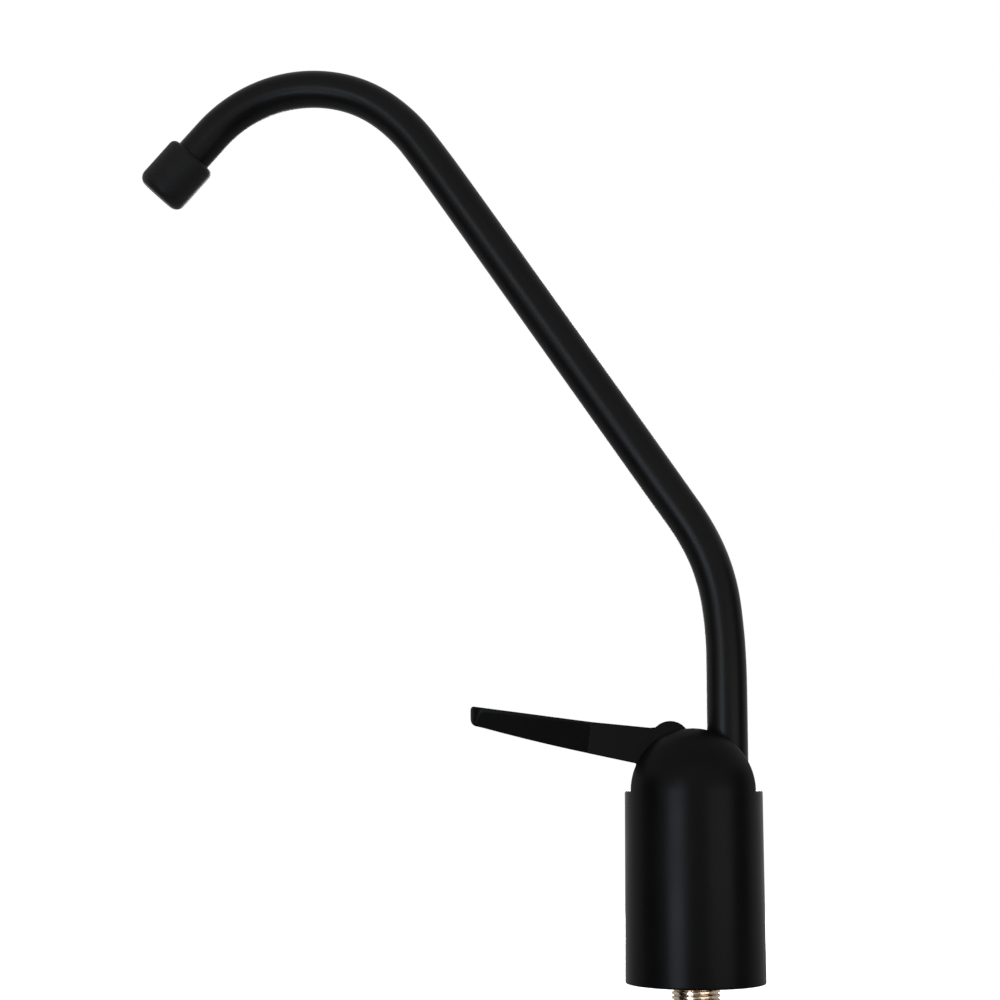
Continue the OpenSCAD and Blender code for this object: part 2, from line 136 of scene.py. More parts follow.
def closeSeams(mesh, wall=0.0, gap=1e-6):           # a wall makes a hollow shell of an open skin
    work = bmesh.new()
    work.from_mesh(mesh)
    bmesh.ops.remove_doubles(work, verts=work.verts, dist=gap)
    bmesh.ops.recalc_face_normals(work, faces=work.faces)
    if wall:
        bmesh.ops.solidify(work, geom=work.faces, thickness=wall)
    work.to_mesh(mesh)
    work.free()


def runTree(name, tree, base, values):
    holder = bpy.data.objects.new(name + "Holder", base)
    bpy.context.scene.collection.objects.link(holder)
    modifier = holder.modifiers.new("make", "NODES")
    modifier.node_group = tree
    for item in tree.interface.items_tree:
        if item.in_out == "INPUT" and item.name in values:
            modifier[item.identifier] = values[item.name]
    evaluated = holder.evaluated_get(bpy.context.evaluated_depsgraph_get())
    mesh = bpy.data.meshes.new_from_object(evaluated)
    mesh.name = name
    holder.modifiers.remove(modifier)
    bpy.data.objects.remove(holder)
    return mesh


# implicit shapes, in millimetres: below zero inside

def roundCut(a, b, radius):
    corner = np.hypot(np.maximum(a + radius, 0), np.maximum(b + radius, 0))
    return np.minimum(-radius, np.maximum(a, b)) + corner


def roundJoin(a, b, radius):
    corner = np.hypot(np.maximum(radius - a, 0), np.maximum(radius - b, 0))
    return np.maximum(radius, np.minimum(a, b)) - corner


def outlineDistance(outline, u, v):
    size = np.broadcast(u, v).shape
    nearest = np.full(size, np.inf)
    inside = np.zeros(size, bool)
    for (u0, v0), (u1, v1) in zip(outline, outline[1:] + outline[:1]):
        du, dv = u1 - u0, v1 - v0
        along = np.clip(((u - u0) * du + (v - v0) * dv) / (du * du + dv * dv), 0, 1)
        nearest = np.minimum(nearest, (u - u0 - along * du) ** 2 + (v - v0 - along * dv) ** 2)
        if dv:
            inside ^= ((v0 > v) != (v1 > v)) & (u < du * (v - v0) / dv + u0)
    return np.sqrt(nearest) * np.where(inside, -1, 1)


def skin(shape, axes):                              # one point in each cell that the surface crosses
    grid = np.meshgrid(*axes, indexing="ij", sparse=True)
    field = shape(*grid)
    inside = field < 0
    cells = [n - 1 for n in field.shape]
    corners = [(i, j, k) for i in (0, 1) for j in (0, 1) for k in (0, 1)]

    def window(a, c):
        return a[c[0]:c[0] + cells[0], c[1]:c[1] + cells[1], c[2]:c[2] + cells[2]]

    count = sum(window(inside, c).astype(int) for c in corners)
    mixed = (count > 0) & (count < 8)
    index = np.full(mixed.shape, -1)
    index[mixed] = np.arange(mixed.sum())
    cell = np.argwhere(mixed)
    total = np.zeros(cell.shape)
    hits = np.zeros(len(cell))
    for c in corners:
        for axis in range(3):
            if c[axis]:
                continue
            far = tuple(1 if n == axis else c[n] for n in range(3))
            a, b = window(field, c)[mixed], window(field, far)[mixed]
            cross = (a < 0) != (b < 0)
            spot = np.tile(np.array(c, float), (len(cell), 1))
            spot[:, axis] = a / np.where(cross, a - b, 1)
            total += spot * cross[:, None]
            hits += cross
    share = total / hits[:, None]
    points = np.zeros(cell.shape)
    for axis in range(3):
        low = axes[axis][cell[:, axis]]
        points[:, axis] = low + share[:, axis] * (axes[axis][cell[:, axis] + 1] - low)
    faces = []
    for axis in range(3):
        u, v = (axis + 1) % 3, (axis + 2) % 3
        steps = np.arange(cells[axis])
        change = np.argwhere(inside.take(steps, axis) != inside.take(steps + 1, axis))
        outward = inside[tuple(change.T)]
        around = []
        for du, dv in ((-1, -1), (0, -1), (0, 0), (-1, 0)):
            beside = change.copy()
            beside[:, u] += du
            beside[:, v] += dv
            around.append(index[tuple(beside.T)])
        quads = np.stack(around, 1)
        quads[~outward] = quads[~outward][:, ::-1]
        faces.append(quads)
    return settle(shape, points), np.concatenate(faces)


def settle(shape, points, reach=0.02, rounds=4, furthest=0.08, flattest=0.25):
    for _ in range(rounds):                         # slide every point onto the true surface
        here = shape(*points.T)
        slope = np.stack([(shape(*(points + d).T) - shape(*(points - d).T)) / (2 * reach)
                          for d in np.eye(3) * reach], 1)
        steep = np.maximum((slope ** 2).sum(1), flattest)
        points = points - slope * np.clip(here / steep, -furthest, furthest)[:, None]
    return points


# shared shader groups: a mottled grain, and the marks that turning leaves
grainForm = {"fineness": 4.3, "fineHeight": 0.3, "patchShare": 0.7, "peelShare": 0.3,
             "patchRange": (0.32, 0.68), "toneRange": (0.35, 0.65), "underTurning": 0.4}


def makeGrainGroup(form):
    tree, given, out = newTree(
        "finishGrain", "ShaderNodeTree",
        [("Vector", "NodeSocketVector", None), ("Grain Scale", "NodeSocketFloat", 1500.0),
         ("Patch Scale", "NodeSocketFloat", 70.0), ("Rough Low", "NodeSocketFloat", 0.3),
         ("Rough High", "NodeSocketFloat", 0.4), ("Dark", "NodeSocketColor", None),
         ("Light", "NodeSocketColor", None)],
        [("Color", "NodeSocketColor"), ("Roughness", "NodeSocketFloat"), ("Height", "NodeSocketFloat")])
    peel = put(tree, "ShaderNodeTexNoise", {"Vector": given["Vector"], "Scale": given["Grain Scale"],
                                            "Detail": 2.0, "Roughness": 0.45})
    fineScale = calc(tree, "MULTIPLY", given["Grain Scale"], form["fineness"])
    fine = put(tree, "ShaderNodeTexNoise", {"Vector": given["Vector"], "Scale": fineScale, "Detail": 1.0})
    patch = put(tree, "ShaderNodeTexNoise", {"Vector": given["Vector"], "Scale": given["Patch Scale"],
                                             "Detail": 3.0, "Roughness": 0.55})
    patchLow, patchHigh = form["patchRange"]
    spread = put(tree, "ShaderNodeMapRange", {
        "Value": patch.outputs[0], "From Min": patchLow, "From Max": patchHigh,
        "To Min": given["Rough Low"], "To Max": given["Rough High"]})
    tone = calc(tree, "ADD", calc(tree, "MULTIPLY", patch.outputs[0], form["patchShare"]),
                calc(tree, "MULTIPLY", peel.outputs[0], form["peelShare"]))
    toneLow, toneHigh = form["toneRange"]
    mixed = put(tree, "ShaderNodeMapRange", {"Value": tone, "From Min": toneLow, "From Max": toneHigh})
    colour = put(tree, "ShaderNodeMix", data_type="RGBA")
    tree.links.new(mixed.outputs[0], colour.inputs[0])
    tree.links.new(given["Dark"], colour.inputs[6])
    tree.links.new(given["Light"], colour.inputs[7])
    height = calc(tree, "ADD", peel.outputs[0], calc(tree, "MULTIPLY", fine.outputs[0], form["fineHeight"]))
    tree.links.new(colour.outputs[2], out["Color"])
    tree.links.new(spread.outputs[0], out["Roughness"])
    tree.links.new(height, out["Height"])
    return tree


def makeTurnedGroup():
    tree, given, out = newTree(
        "turnedMarks", "ShaderNodeTree",
        [("Vector", "NodeSocketVector", None), ("Axis", "NodeSocketVector", None),
         ("Scale", "NodeSocketFloat", 3000.0)],
        [("Height", "NodeSocketFloat")])
    offset = vectorCalc(tree, "SUBTRACT", given["Vector"], given["Axis"])
    split = put(tree, "ShaderNodeSeparateXYZ", {0: offset}).outputs
    square = calc(tree, "ADD", calc(tree, "MULTIPLY", split[0], split[0]),
                  calc(tree, "MULTIPLY", split[1], split[1]))
    radius = calc(tree, "SQRT", square)
    flat = put(tree, "ShaderNodeCombineXYZ", {0: radius, 1: split[2]})
    marks = put(tree, "ShaderNodeTexNoise",
                {"Vector": flat.outputs[0], "Scale": given["Scale"], "Detail": 2.0}, noise_dimensions="2D")
    tree.links.new(marks.outputs[0], out["Height"])
    return tree


grainGroup = makeGrainGroup(grainForm)
turnedGroup = makeTurnedGroup()


def finish(name, dark, light, rough, grain, patch=70.0, bump=0.1, depth=0.04, specular=0.5, metallic=0.0,
           turned=None):
    material = bpy.data.materials.new(name)
    material.use_nodes = True
    tree = material.node_tree
    tree.nodes.clear()
    place = put(tree, "ShaderNodeTexCoord").outputs["Object"]
    group = put(tree, "ShaderNodeGroup", node_tree=grainGroup)
    tree.links.new(place, group.inputs["Vector"])
    values = {"Grain Scale": grain, "Patch Scale": patch, "Rough Low": rough[0], "Rough High": rough[1],
              "Dark": (*dark, 1), "Light": (*light, 1)}
    for key, value in values.items():
        group.inputs[key].default_value = value
    height = group.outputs["Height"]
    if turned:
        marks = put(tree, "ShaderNodeGroup", node_tree=turnedGroup)
        tree.links.new(place, marks.inputs["Vector"])
        marks.inputs["Axis"].default_value = turned["axis"]
        marks.inputs["Scale"].default_value = turned["scale"]
        grainShare = calc(tree, "MULTIPLY", height, grainForm["underTurning"])
        height = calc(tree, "ADD", grainShare, marks.outputs["Height"])
    bumped = put(tree, "ShaderNodeBump", {"Strength": bump, "Distance": depth * mm, "Height": height})
    shader = put(tree, "ShaderNodeBsdfPrincipled", {
        "Base Color": group.outputs["Color"], "Roughness": group.outputs["Roughness"],
        "Normal": bumped.outputs[0], "Specular IOR Level": specular, "Metallic": metallic})
    surface = put(tree, "ShaderNodeOutputMaterial")
    tree.links.new(shader.outputs[0], surface.inputs[0])
    return material


bodyAxis = (0, 0, 0)
stemAxis = (stemX * mm, 0, 0)
finishes = {
    "black_paint": finish("blackCoat", (0.0015, 0.0015, 0.0016), (0.0020, 0.0020, 0.0021), (0.30, 0.35),
                          1500.0, bump=0.10, specular=0.060),
    "black_tube": finish("tubeCoat", (0.0026, 0.0026, 0.0027), (0.0034, 0.0034, 0.0035), (0.30, 0.35),
                         1500.0, bump=0.10, specular=0.082),
    "lever_plastic": finish("leverSatin", (0.0013, 0.0012, 0.0010), (0.0018, 0.0017, 0.0014), (0.36, 0.43),
                            2600.0, bump=0.16, specular=0.056),
    "nozzle_plastic": finish("nozzleMatt", (0.0054, 0.0054, 0.0056), (0.0067, 0.0067, 0.0069), (0.46, 0.54),
                             2200.0, bump=0.16, specular=0.08),
    "bush_plastic": finish("bushAcetal", (0.020, 0.020, 0.021), (0.030, 0.030, 0.031), (0.38, 0.48),
                           1800.0, specular=0.35),
    "shank_brass": finish("shankBrass", (0.60, 0.48, 0.36), (0.78, 0.68, 0.55), (0.12, 0.22),
                          900.0, patch=260.0, bump=0.1, depth=0.02, metallic=1.0,
                          turned={"axis": bodyAxis, "scale": 3800.0}),
    "brass": finish("turnedBrass", (0.58, 0.41, 0.19), (0.74, 0.57, 0.30), (0.22, 0.34),
                    900.0, patch=220.0, bump=0.25, depth=0.02, metallic=1.0,
                    turned={"axis": stemAxis, "scale": 3200.0}),
    "steel": finish("zincSteel", (0.46, 0.46, 0.48), (0.62, 0.62, 0.64), (0.26, 0.40),
                    700.0, patch=240.0, bump=0.2, depth=0.02, metallic=1.0,
                    turned={"axis": bodyAxis, "scale": 2600.0}),
    "rubber": finish("sealRubber", (0.012, 0.012, 0.012), (0.022, 0.022, 0.022), (0.62, 0.78),
                     1200.0, bump=0.3, depth=0.05, specular=0.3),
    "fibre": finish("pressedFibre", (0.20, 0.07, 0.045), (0.36, 0.15, 0.10), (0.70, 0.85),
                    1600.0, patch=400.0, bump=0.4, depth=0.06, specular=0.3),
}
slotOf = {part["node"]: part["material_slot"] for part in frame["record"]["subparts"]}
for nodeName, cadNode in frame["nodes"].items():
    cadNode.data.materials.clear()
    cadNode.data.materials.append(finishes[slotOf[nodeName]])
print("finishes made:", len(finishes))


def takeOver(piece, body, node):
    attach(piece, body)
    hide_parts(node)


# camera, fitted to the edges in the photograph, in millimetres and degrees
cameraForm = {"place": (6.647, -511.044, 52.155), "pitch": 6.730, "yaw": -5.796, "roll": -0.085,
              "lens": 77.967, "sensor": 36.0, "near": 10.0}


def makeCamera(form):
    pitch, yaw, roll = (math.radians(form[key]) for key in ("pitch", "yaw", "roll"))
    ahead = Vector((math.sin(yaw) * math.cos(pitch), math.cos(yaw) * math.cos(pitch), math.sin(pitch)))
    right = Vector((math.cos(yaw), -math.sin(yaw), 0))
    up = right.cross(ahead)
    across = right * math.cos(roll) + up * math.sin(roll)
    above = up * math.cos(roll) - right * math.sin(roll)
    camera = bpy.data.objects.new("camera", bpy.data.cameras.new("camera"))
    bpy.context.scene.collection.objects.link(camera)
    turn = Matrix((across, above, -ahead)).transposed().to_4x4()
    camera.matrix_world = Matrix.Translation(Vector(form["place"]) * mm) @ turn
    camera.data.sensor_width = form["sensor"]
    camera.data.lens = form["lens"]
    camera.data.clip_start = form["near"] * mm
    bpy.context.scene.camera = camera


makeCamera(cameraForm)
print("camera placed")

# body shell: a bullet with a slot through its dome
bodyForm = {"radius": 16.0, "height": 44.0, "draft": 0.22, "slotHalf": 6.7, "rimRound": 0.45,
            "footRound": 0.2, "cornerFillet": 0.3, "boreRadius": 14.2, "deck": 40.0, "bonnetRadius": 5.22,
            "bushRadius": 5.52, "sharp": 50}
bodyGrid = {"step": 0.27, "wallStep": 1.5, "sideMargin": 0.88, "footMargin": 0.61, "footTop": 1.4,
            "wallLow": 2.0, "wallBelowDeck": 2.0, "topBelowDeck": 1.0, "topMargin": 0.7}


def bodyShape(x, y, z):
    form = bodyForm
    above = np.maximum(z - form["height"], 0)
    flare = form["draft"] * np.maximum(1 - z / form["height"], 0)
    outer = np.sqrt(x * x + y * y + above * above) - form["radius"] - flare
    besideSlot = roundJoin(form["slotHalf"] - np.abs(y), z - form["height"], form["cornerFillet"])
    solid = roundCut(outer, besideSlot, form["rimRound"])
    solid = roundCut(solid, -z, form["footRound"])
    bore = np.maximum(np.hypot(x, y) - form["boreRadius"], z - form["deck"])
    solid = np.maximum(solid, -bore)
    solid = np.maximum(solid, form["bonnetRadius"] - np.hypot(x - stemX, y))
    return np.maximum(solid, form["bushRadius"] - np.hypot(x - spoutX, y))


def makeBody(form, grid):
    reach = form["radius"] + grid["sideMargin"]
    domeTop = form["height"] + form["radius"] + grid["topMargin"]
    side = np.arange(-reach, reach, grid["step"])
    foot = np.arange(-grid["footMargin"], grid["footTop"], grid["step"])
    wall = np.arange(grid["wallLow"], form["deck"] - grid["wallBelowDeck"], grid["wallStep"])
    top = np.arange(form["deck"] - grid["topBelowDeck"], domeTop, grid["step"])
    points, faces = skin(bodyShape, (side, side, np.concatenate((foot, wall, top))))
    mesh = meshFrom("bodySkin", points * mm, faces)
    shade(mesh, form["sharp"])
    piece = addPiece("body_skin", mesh, finishes["black_paint"])
    takeOver(piece, "tap_body", "body_shell")
    return piece


bodyPiece = makeBody(bodyForm, bodyGrid)
print("body skin:", len(bodyPiece.data.polygons), "faces")

# lever: a straight hub block, an undercut paddle, a knuckle round the pin and the cam heel
leverForm = {"pin": (stemX, 55.4), "length": 47.0, "tipRise": 5.7, "tipThick": 4.4, "tipWide": 11.6,
             "neckLength": 18.35, "neckRise": 0.75, "neckThick": 7.3, "hubRadius": 4.65, "halfWidth": 6.1,
             "noseTop": 1.0, "noseFoot": 2.1, "noseTurn": 262, "crown": 0.3, "edgeRound": 0.3,
             "undercut": 15.0, "undercutRound": 0.15,
             "belly": 0.22, "bellyHalf": 13.3, "bellySpan": (12.0, -13.2), "bellySlope": 0.242,
             "heelDepth": 8.25, "heelFall": 2.2, "camBase": 4.58366, "press": 20.0, "throatGap": 0.35,
             "knuckleTurn": 132, "notch": (-3.5, 3.2), "notchFoot": 3.12,
             "forkHalf": 2.6, "eyeRoom": 3.5, "stemRoom": 5.8716, "rearRoom": 1.2, "pinHole": 1.3,
             "planSpare": 2.0, "step": 0.18, "margin": 0.7, "sharp": 50}


def arc(centre, radius, start, end, count):
    turns = np.radians(np.linspace(start, end, count))
    return [(centre[0] + radius * math.cos(t), centre[1] + radius * math.sin(t)) for t in turns]


def heelPoint(form, press):
    turn = math.radians(press)
    depth = form["heelDepth"] + form["camBase"] * turn
    return (-form["camBase"] * math.cos(turn) - depth * math.sin(turn),
            form["camBase"] * math.sin(turn) - depth * math.cos(turn))


def leverOutlines(form):
    tipTop = form["tipRise"] + form["tipThick"] / 2 + form["crown"]
    tipFoot = form["tipRise"] - form["tipThick"] / 2
    noseTop = (form["noseTop"] - form["length"], tipTop - form["noseTop"])
    noseFoot = (form["noseFoot"] - form["length"], tipFoot + form["noseFoot"])
    neckTop = (-form["neckLength"], form["neckRise"] + form["neckThick"] / 2 + form["crown"] / 3)
    neckFoot = (-form["neckLength"], form["neckRise"] - form["neckThick"] / 2)
    middle = ((noseFoot[0] + neckFoot[0]) / 2, (tipFoot + neckFoot[1]) / 2)
    underside = []
    for reach in np.linspace(*form["bellySpan"], 15):
        hang = form["belly"] * (1 - (reach / form["bellyHalf"]) ** 2)
        underside.append((middle[0] - reach, middle[1] + reach * form["bellySlope"] - hang))
    heel = [heelPoint(form, press) for press in np.linspace(form["press"], 0, 9)]
    throat = (heel[0][0] - form["throatGap"], neckFoot[1] - form["heelFall"])
    rear = math.degrees(math.asin(form["hubRadius"] / form["heelDepth"])) - 90
    back = arc((0, 0), form["heelDepth"], -90, rear, 12)
    knuckle = arc((0, 0), form["hubRadius"], 0, form["knuckleTurn"], 44)
    side = (arc(noseTop, form["noseTop"], 90, 180, 12)
            + arc(noseFoot, form["noseFoot"], 180, form["noseTurn"], 20)
            + underside + [throat] + heel + back
            + knuckle + [form["notch"], (-form["hubRadius"], form["notchFoot"]), neckTop])
    planRear, half = form["heelDepth"] + form["planSpare"], form["halfWidth"]
    cornerRadius = form["tipWide"] / 3
    corner = (cornerRadius - form["length"], form["tipWide"] / 2 - cornerRadius)
    plan = ([(planRear, -half), (planRear, half), (-form["neckLength"], half)]
            + arc(corner, cornerRadius, 90, 180, 24)
            + arc((corner[0], -corner[1]), cornerRadius, 180, 270, 24)
            + [(-form["neckLength"], -half)])
    return side, plan


leverSide, leverPlan = leverOutlines(leverForm)
paddleTop = leverForm["neckRise"] + leverForm["neckThick"] / 2
paddleRun = leverForm["length"] - leverForm["neckLength"]
paddleRise = math.atan((leverForm["tipRise"] + leverForm["tipThick"] / 2 - paddleTop) / paddleRun)
paddleTaper = math.atan((leverForm["halfWidth"] - leverForm["tipWide"] / 2) / paddleRun)
paddleTurn = np.array(Matrix.Rotation(paddleRise, 3, "Y") @ Matrix.Rotation(-paddleTaper, 3, "Z")
                      @ Matrix.Rotation(math.radians(leverForm["undercut"]), 3, "X"))


def leverShape(x, y, z):
    form = leverForm
    x, z = x - form["pin"][0], z - form["pin"][1]
    flatY = np.abs(y)
    block = roundCut(outlineDistance(leverSide, x, z), outlineDistance(leverPlan, x, y), form["edgeRound"])
    local = x + form["neckLength"], form["halfWidth"] - flatY, z - paddleTop
    lean = sum(local[n] * paddleTurn[n, 1] for n in range(3))
    past = sum(local[n] * paddleTurn[n, 0] for n in range(3))
    block = roundCut(block, -np.maximum(lean, past), form["undercutRound"])
    between = flatY - form["forkHalf"]
    eye = np.maximum(np.hypot(x, z) - form["eyeRoom"], between)
    stem = np.maximum(np.maximum(-form["stemRoom"] - x, z), between)
    rear = np.maximum(np.maximum(-x, z - form["rearRoom"]), between)
    room = np.minimum(np.minimum(eye, stem), rear)
    return np.maximum(np.maximum(block, -room), form["pinHole"] - np.hypot(x, z))


def makeLever(form):
    pinX, pinZ = form["pin"]
    tipTop = form["tipRise"] + form["tipThick"] / 2
    spans = ((pinX - form["length"], pinX + form["hubRadius"]), (-form["halfWidth"], form["halfWidth"]),
             (pinZ - form["heelDepth"], pinZ + tipTop))
    axes = [np.arange(low - form["margin"], high + form["margin"], form["step"]) for low, high in spans]
    points, faces = skin(leverShape, axes)
    mesh = meshFrom("leverSkin", points * mm, faces)
    shade(mesh, form["sharp"])
    piece = addPiece("lever_skin", mesh, finishes["lever_plastic"])
    takeOver(piece, "lever", "lever")
    return piece


leverPiece = makeLever(leverForm)
print("lever skin:", len(leverPiece.data.polygons), "faces")

# spout: a tube swept along its bent path, slightly flattened where it is bent
spoutForm = {"low": 39.0, "deck": bodyForm["height"], "riser": 33.2, "lowBend": 57.5, "lean": 34.65,
             "run": 110.9, "hookBend": 32.8, "hook": 103.3, "tip": 6.9, "grip": 7.5, "radius": 4.75,
             "wall": 1.0, "sides": 72, "spacing": 0.8, "sharp": 50}
# what bending seems to have done to the tube, fitted to its edges in the photograph and rounded:
# how far past each bend's start, by how much, and over what reach
spoutDrift = {"lowBend": ((5.0, -0.25, 6.8), (22.2, 0.19, 8.6), (31.5, -0.09, 19.0)),
              "hookBend": ((-20.7, 0.095, 40.0), (6.3, -0.36, 9.4), (37.2, 0.065, 11.0))}
spoutNarrowing = {"lowBend": ((4.0, -0.105, 8.0), (19.0, -0.112, 16.6)),
                  "hookBend": ((-17.0, -0.056, 87.0), (38.8, -0.21, 41.5))}


def spoutPath(form):
    lean, hook = math.radians(form["lean"]), math.radians(form["hook"])
    legs = ((form["riser"] + form["deck"] - form["low"], 0), (form["lowBend"] * lean, lean), (form["run"], 0),
            (form["hookBend"] * hook, hook), (form["tip"] + form["grip"], 0))
    place = np.array((spoutX, form["low"]))
    heading = 0.0
    points, headings = [], []
    for length, bend in legs:
        count = max(2, round(length / form["spacing"]))
        half = bend / count / 2
        stride = length / count * (math.sin(half) / half if bend else 1)
        for i in range(count):
            headings.append(heading + bend * i / count)
            points.append(place)
            middle = heading + bend * (i + 0.5) / count
            place = place + stride * np.array((-math.sin(middle), math.cos(middle)))
        heading += bend
    points.append(place)
    headings.append(heading)
    return np.array(points), np.array(headings)


def bendMarks(form, run, marks):
    starts = {"lowBend": form["riser"],
              "hookBend": form["riser"] + form["lowBend"] * math.radians(form["lean"]) + form["run"]}
    return sum(amount * np.exp(-((run - starts[bend] - past) / reach) ** 2)
               for bend, rows in marks.items() for past, amount, reach in rows)


def makeSweepTree():
    tree, given, out = newTree(
        "spoutSweep", "GeometryNodeTree",
        [("Geometry", "NodeSocketGeometry", None), ("Radius", "NodeSocketFloat", 0.005),
         ("Sides", "NodeSocketInt", 48), ("Material", "NodeSocketMaterial", None)],
        [("Geometry", "NodeSocketGeometry")])
    curve = put(tree, "GeometryNodeMeshToCurve", {"Mesh": given["Geometry"]})
    ring = put(tree, "GeometryNodeCurvePrimitiveCircle",
               {"Resolution": given["Sides"], "Radius": given["Radius"]})
    tube = put(tree, "GeometryNodeCurveToMesh", {"Curve": curve.outputs[0], "Profile Curve": ring.outputs[0]})
    axis, sideways, narrow = (
        put(tree, "GeometryNodeInputNamedAttribute", {"Name": label}, data_type=kind).outputs[0]
        for label, kind in (("axisPoint", "FLOAT_VECTOR"), ("sideways", "FLOAT_VECTOR"), ("narrow", "FLOAT")))
    offset = vectorCalc(tree, "SUBTRACT", put(tree, "GeometryNodeInputPosition").outputs[0], axis)
    across = vectorCalc(tree, "DOT_PRODUCT", offset, sideways)
    inward = calc(tree, "MULTIPLY", across, calc(tree, "SUBTRACT", narrow, 1.0))
    move = vectorCalc(tree, "SCALE", sideways, inward)
    shaped = put(tree, "GeometryNodeSetPosition", {"Geometry": tube.outputs[0], "Offset": move})
    smooth = put(tree, "GeometryNodeSetShadeSmooth", {0: shaped.outputs[0]})
    endTree(tree, smooth.outputs[0], given["Material"], out)
    return tree


def makeSpout(form):
    points, headings = spoutPath(form)
    strides = np.hypot(*np.diff(points, axis=0).T)
    run = np.concatenate(([0], np.cumsum(strides))) - (form["deck"] - form["low"])
    sideways = np.stack((np.cos(headings), np.zeros(len(run)), np.sin(headings)), 1)
    drift = bendMarks(form, run, spoutDrift)
    half = form["radius"] + bendMarks(form, run, spoutNarrowing)
    axis = np.stack((points[:, 0], np.zeros(len(run)), points[:, 1]), 1) + sideways * drift[:, None]
    path = bpy.data.meshes.new("spoutPath")
    path.from_pydata([tuple(p * mm) for p in axis], [(i, i + 1) for i in range(len(axis) - 1)], [])
    for label, kind, key, values in (
            ("axisPoint", "FLOAT_VECTOR", "vector", axis * mm),
            ("sideways", "FLOAT_VECTOR", "vector", sideways),
            ("narrow", "FLOAT", "value", half / form["radius"])):
        made = path.attributes.new(label, kind, "POINT")
        made.data.foreach_set(key, np.asarray(values, np.float32).ravel())
    sizes = {"Radius": form["radius"] * mm, "Sides": form["sides"], "Material": finishes["black_tube"]}
    mesh = runTree("spoutSkin", makeSweepTree(), path, sizes)
    for label in ("axisPoint", "sideways", "narrow"):
        if label in mesh.attributes:
            mesh.attributes.remove(mesh.attributes[label])
    closeSeams(mesh, form["wall"] * mm)
    shade(mesh, form["sharp"])
    piece = addPiece("spout_skin", mesh, finishes["black_tube"])
    takeOver(piece, "spout", "spout_tube")
    return piece


spoutPiece = makeSpout(spoutForm)
print("spout skin:", len(spoutPiece.data.polygons), "faces")

# nozzle: a turned sleeve with rounded ends, and a pressed-in ring that narrows its outlet
nozzleForm = {"radius": 6.4, "length": 13.28, "shoulderRound": 1.5, "endRound": 2.45, "outlet": 5.15,
              "tubeHole": 4.77, "mouthChamfer": 0.12, "pocket": 8.7, "lipRound": 0.06, "steps": 128,
              "wallRings": 8, "sharp": 40}
outletForm = {"outer": 5.13, "low": 11.15}


def nozzlePlace(form):
    points, headings = spoutPath(form)
    ahead = np.array((-math.sin(headings[-1]), 0, math.cos(headings[-1])))
    end = np.array((points[-1][0], 0, points[-1][1]))
    return end - form["grip"] * ahead, ahead


def spin(profile, place, ahead, steps):
    side = np.array((0, 1.0, 0))
    other = np.cross(ahead, side)
    angles = np.linspace(0, 2 * math.pi, steps, endpoint=False)
    points = [place + t * ahead + r * (math.cos(a) * side + math.sin(a) * other)
              for r, t in profile for a in angles]
    count = len(profile)
    faces = [(i * steps + j, i * steps + (j + 1) % steps,
              (i + 1) % count * steps + (j + 1) % steps, (i + 1) % count * steps + j)
             for i in range(count) for j in range(steps)]
    return np.array(points), faces


def endTurn(form, radius):                          # how far round the end's edge a radius is reached
    return math.degrees(math.acos((radius - form["radius"] + form["endRound"]) / form["endRound"]))


def makeNozzle(form, spout):
    place, ahead = nozzlePlace(spout)
    r, end, lip, shoulder = form["radius"], form["endRound"], form["lipRound"], form["shoulderRound"]
    endCentre = (r - end, form["length"] - end)
    lipTurn = endTurn(form, form["outlet"] + lip)
    lipHeight = endCentre[1] + end * math.sin(math.radians(lipTurn))
    profile = [(form["tubeHole"], form["mouthChamfer"]), (form["tubeHole"] + form["mouthChamfer"], 0)]
    profile += arc((r - shoulder, shoulder), shoulder, -90, 0, 12)
    profile += [(r, t) for t in np.linspace(shoulder, endCentre[1], form["wallRings"] + 1)[1:-1]]
    profile += arc(endCentre, end, 0, lipTurn, 14)
    profile += arc((form["outlet"] + lip, lipHeight - lip), lip, 90, 180, 4)
    profile += [(form["outlet"], form["pocket"]), (form["tubeHole"], form["pocket"])]
    points, faces = spin(profile, place, ahead, form["steps"])
    mesh = meshFrom("nozzleSkin", points * mm, faces)
    closeSeams(mesh)
    shade(mesh, form["sharp"])
    piece = addPiece("nozzle_skin", mesh, finishes["nozzle_plastic"])
    takeOver(piece, "spout", "nozzle_sleeve")
    return piece


def makeOutlet(form, nozzle, spout):
    place, ahead = nozzlePlace(spout)
    end, lip, length = nozzle["endRound"], nozzle["lipRound"], nozzle["length"]
    flat = nozzle["radius"] - end
    profile = [(form["outer"], form["low"])]
    profile += arc((flat, length - end), end, endTurn(nozzle, form["outer"]), 90, 14)
    profile += arc((flat, length - lip), lip, 90, 180, 4)
    profile += [(flat - lip, form["low"])]
    points, faces = spin(profile, place, ahead, nozzle["steps"])
    mesh = meshFrom("outletRing", points * mm, faces)
    closeSeams(mesh)
    shade(mesh, nozzle["sharp"])
    piece = addPiece("outlet_ring", mesh, finishes["bush_plastic"])
    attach(piece, "spout")


nozzlePiece = makeNozzle(nozzleForm, spoutForm)
makeOutlet(outletForm, nozzleForm, spoutForm)
print("nozzle skin:", len(nozzlePiece.data.polygons), "faces")

# shank: a hollow stud with a helical thread, plain where the core and the nut hold it
shankForm = {"crest": 5.555, "depth": 0.5, "pitch": 1.058, "held": 5.305, "low": -50.0, "high": 12.0,
             "core": 2.0, "nutLow": -36.1, "nutHigh": -29.6, "chamfer": 0.6, "bore": 2.6, "socket": 3.25,
             "socketTop": -36.0, "crestShare": 0.55, "rootShare": 0.92, "sides": 72, "rings": 820,
             "sharp": 35}


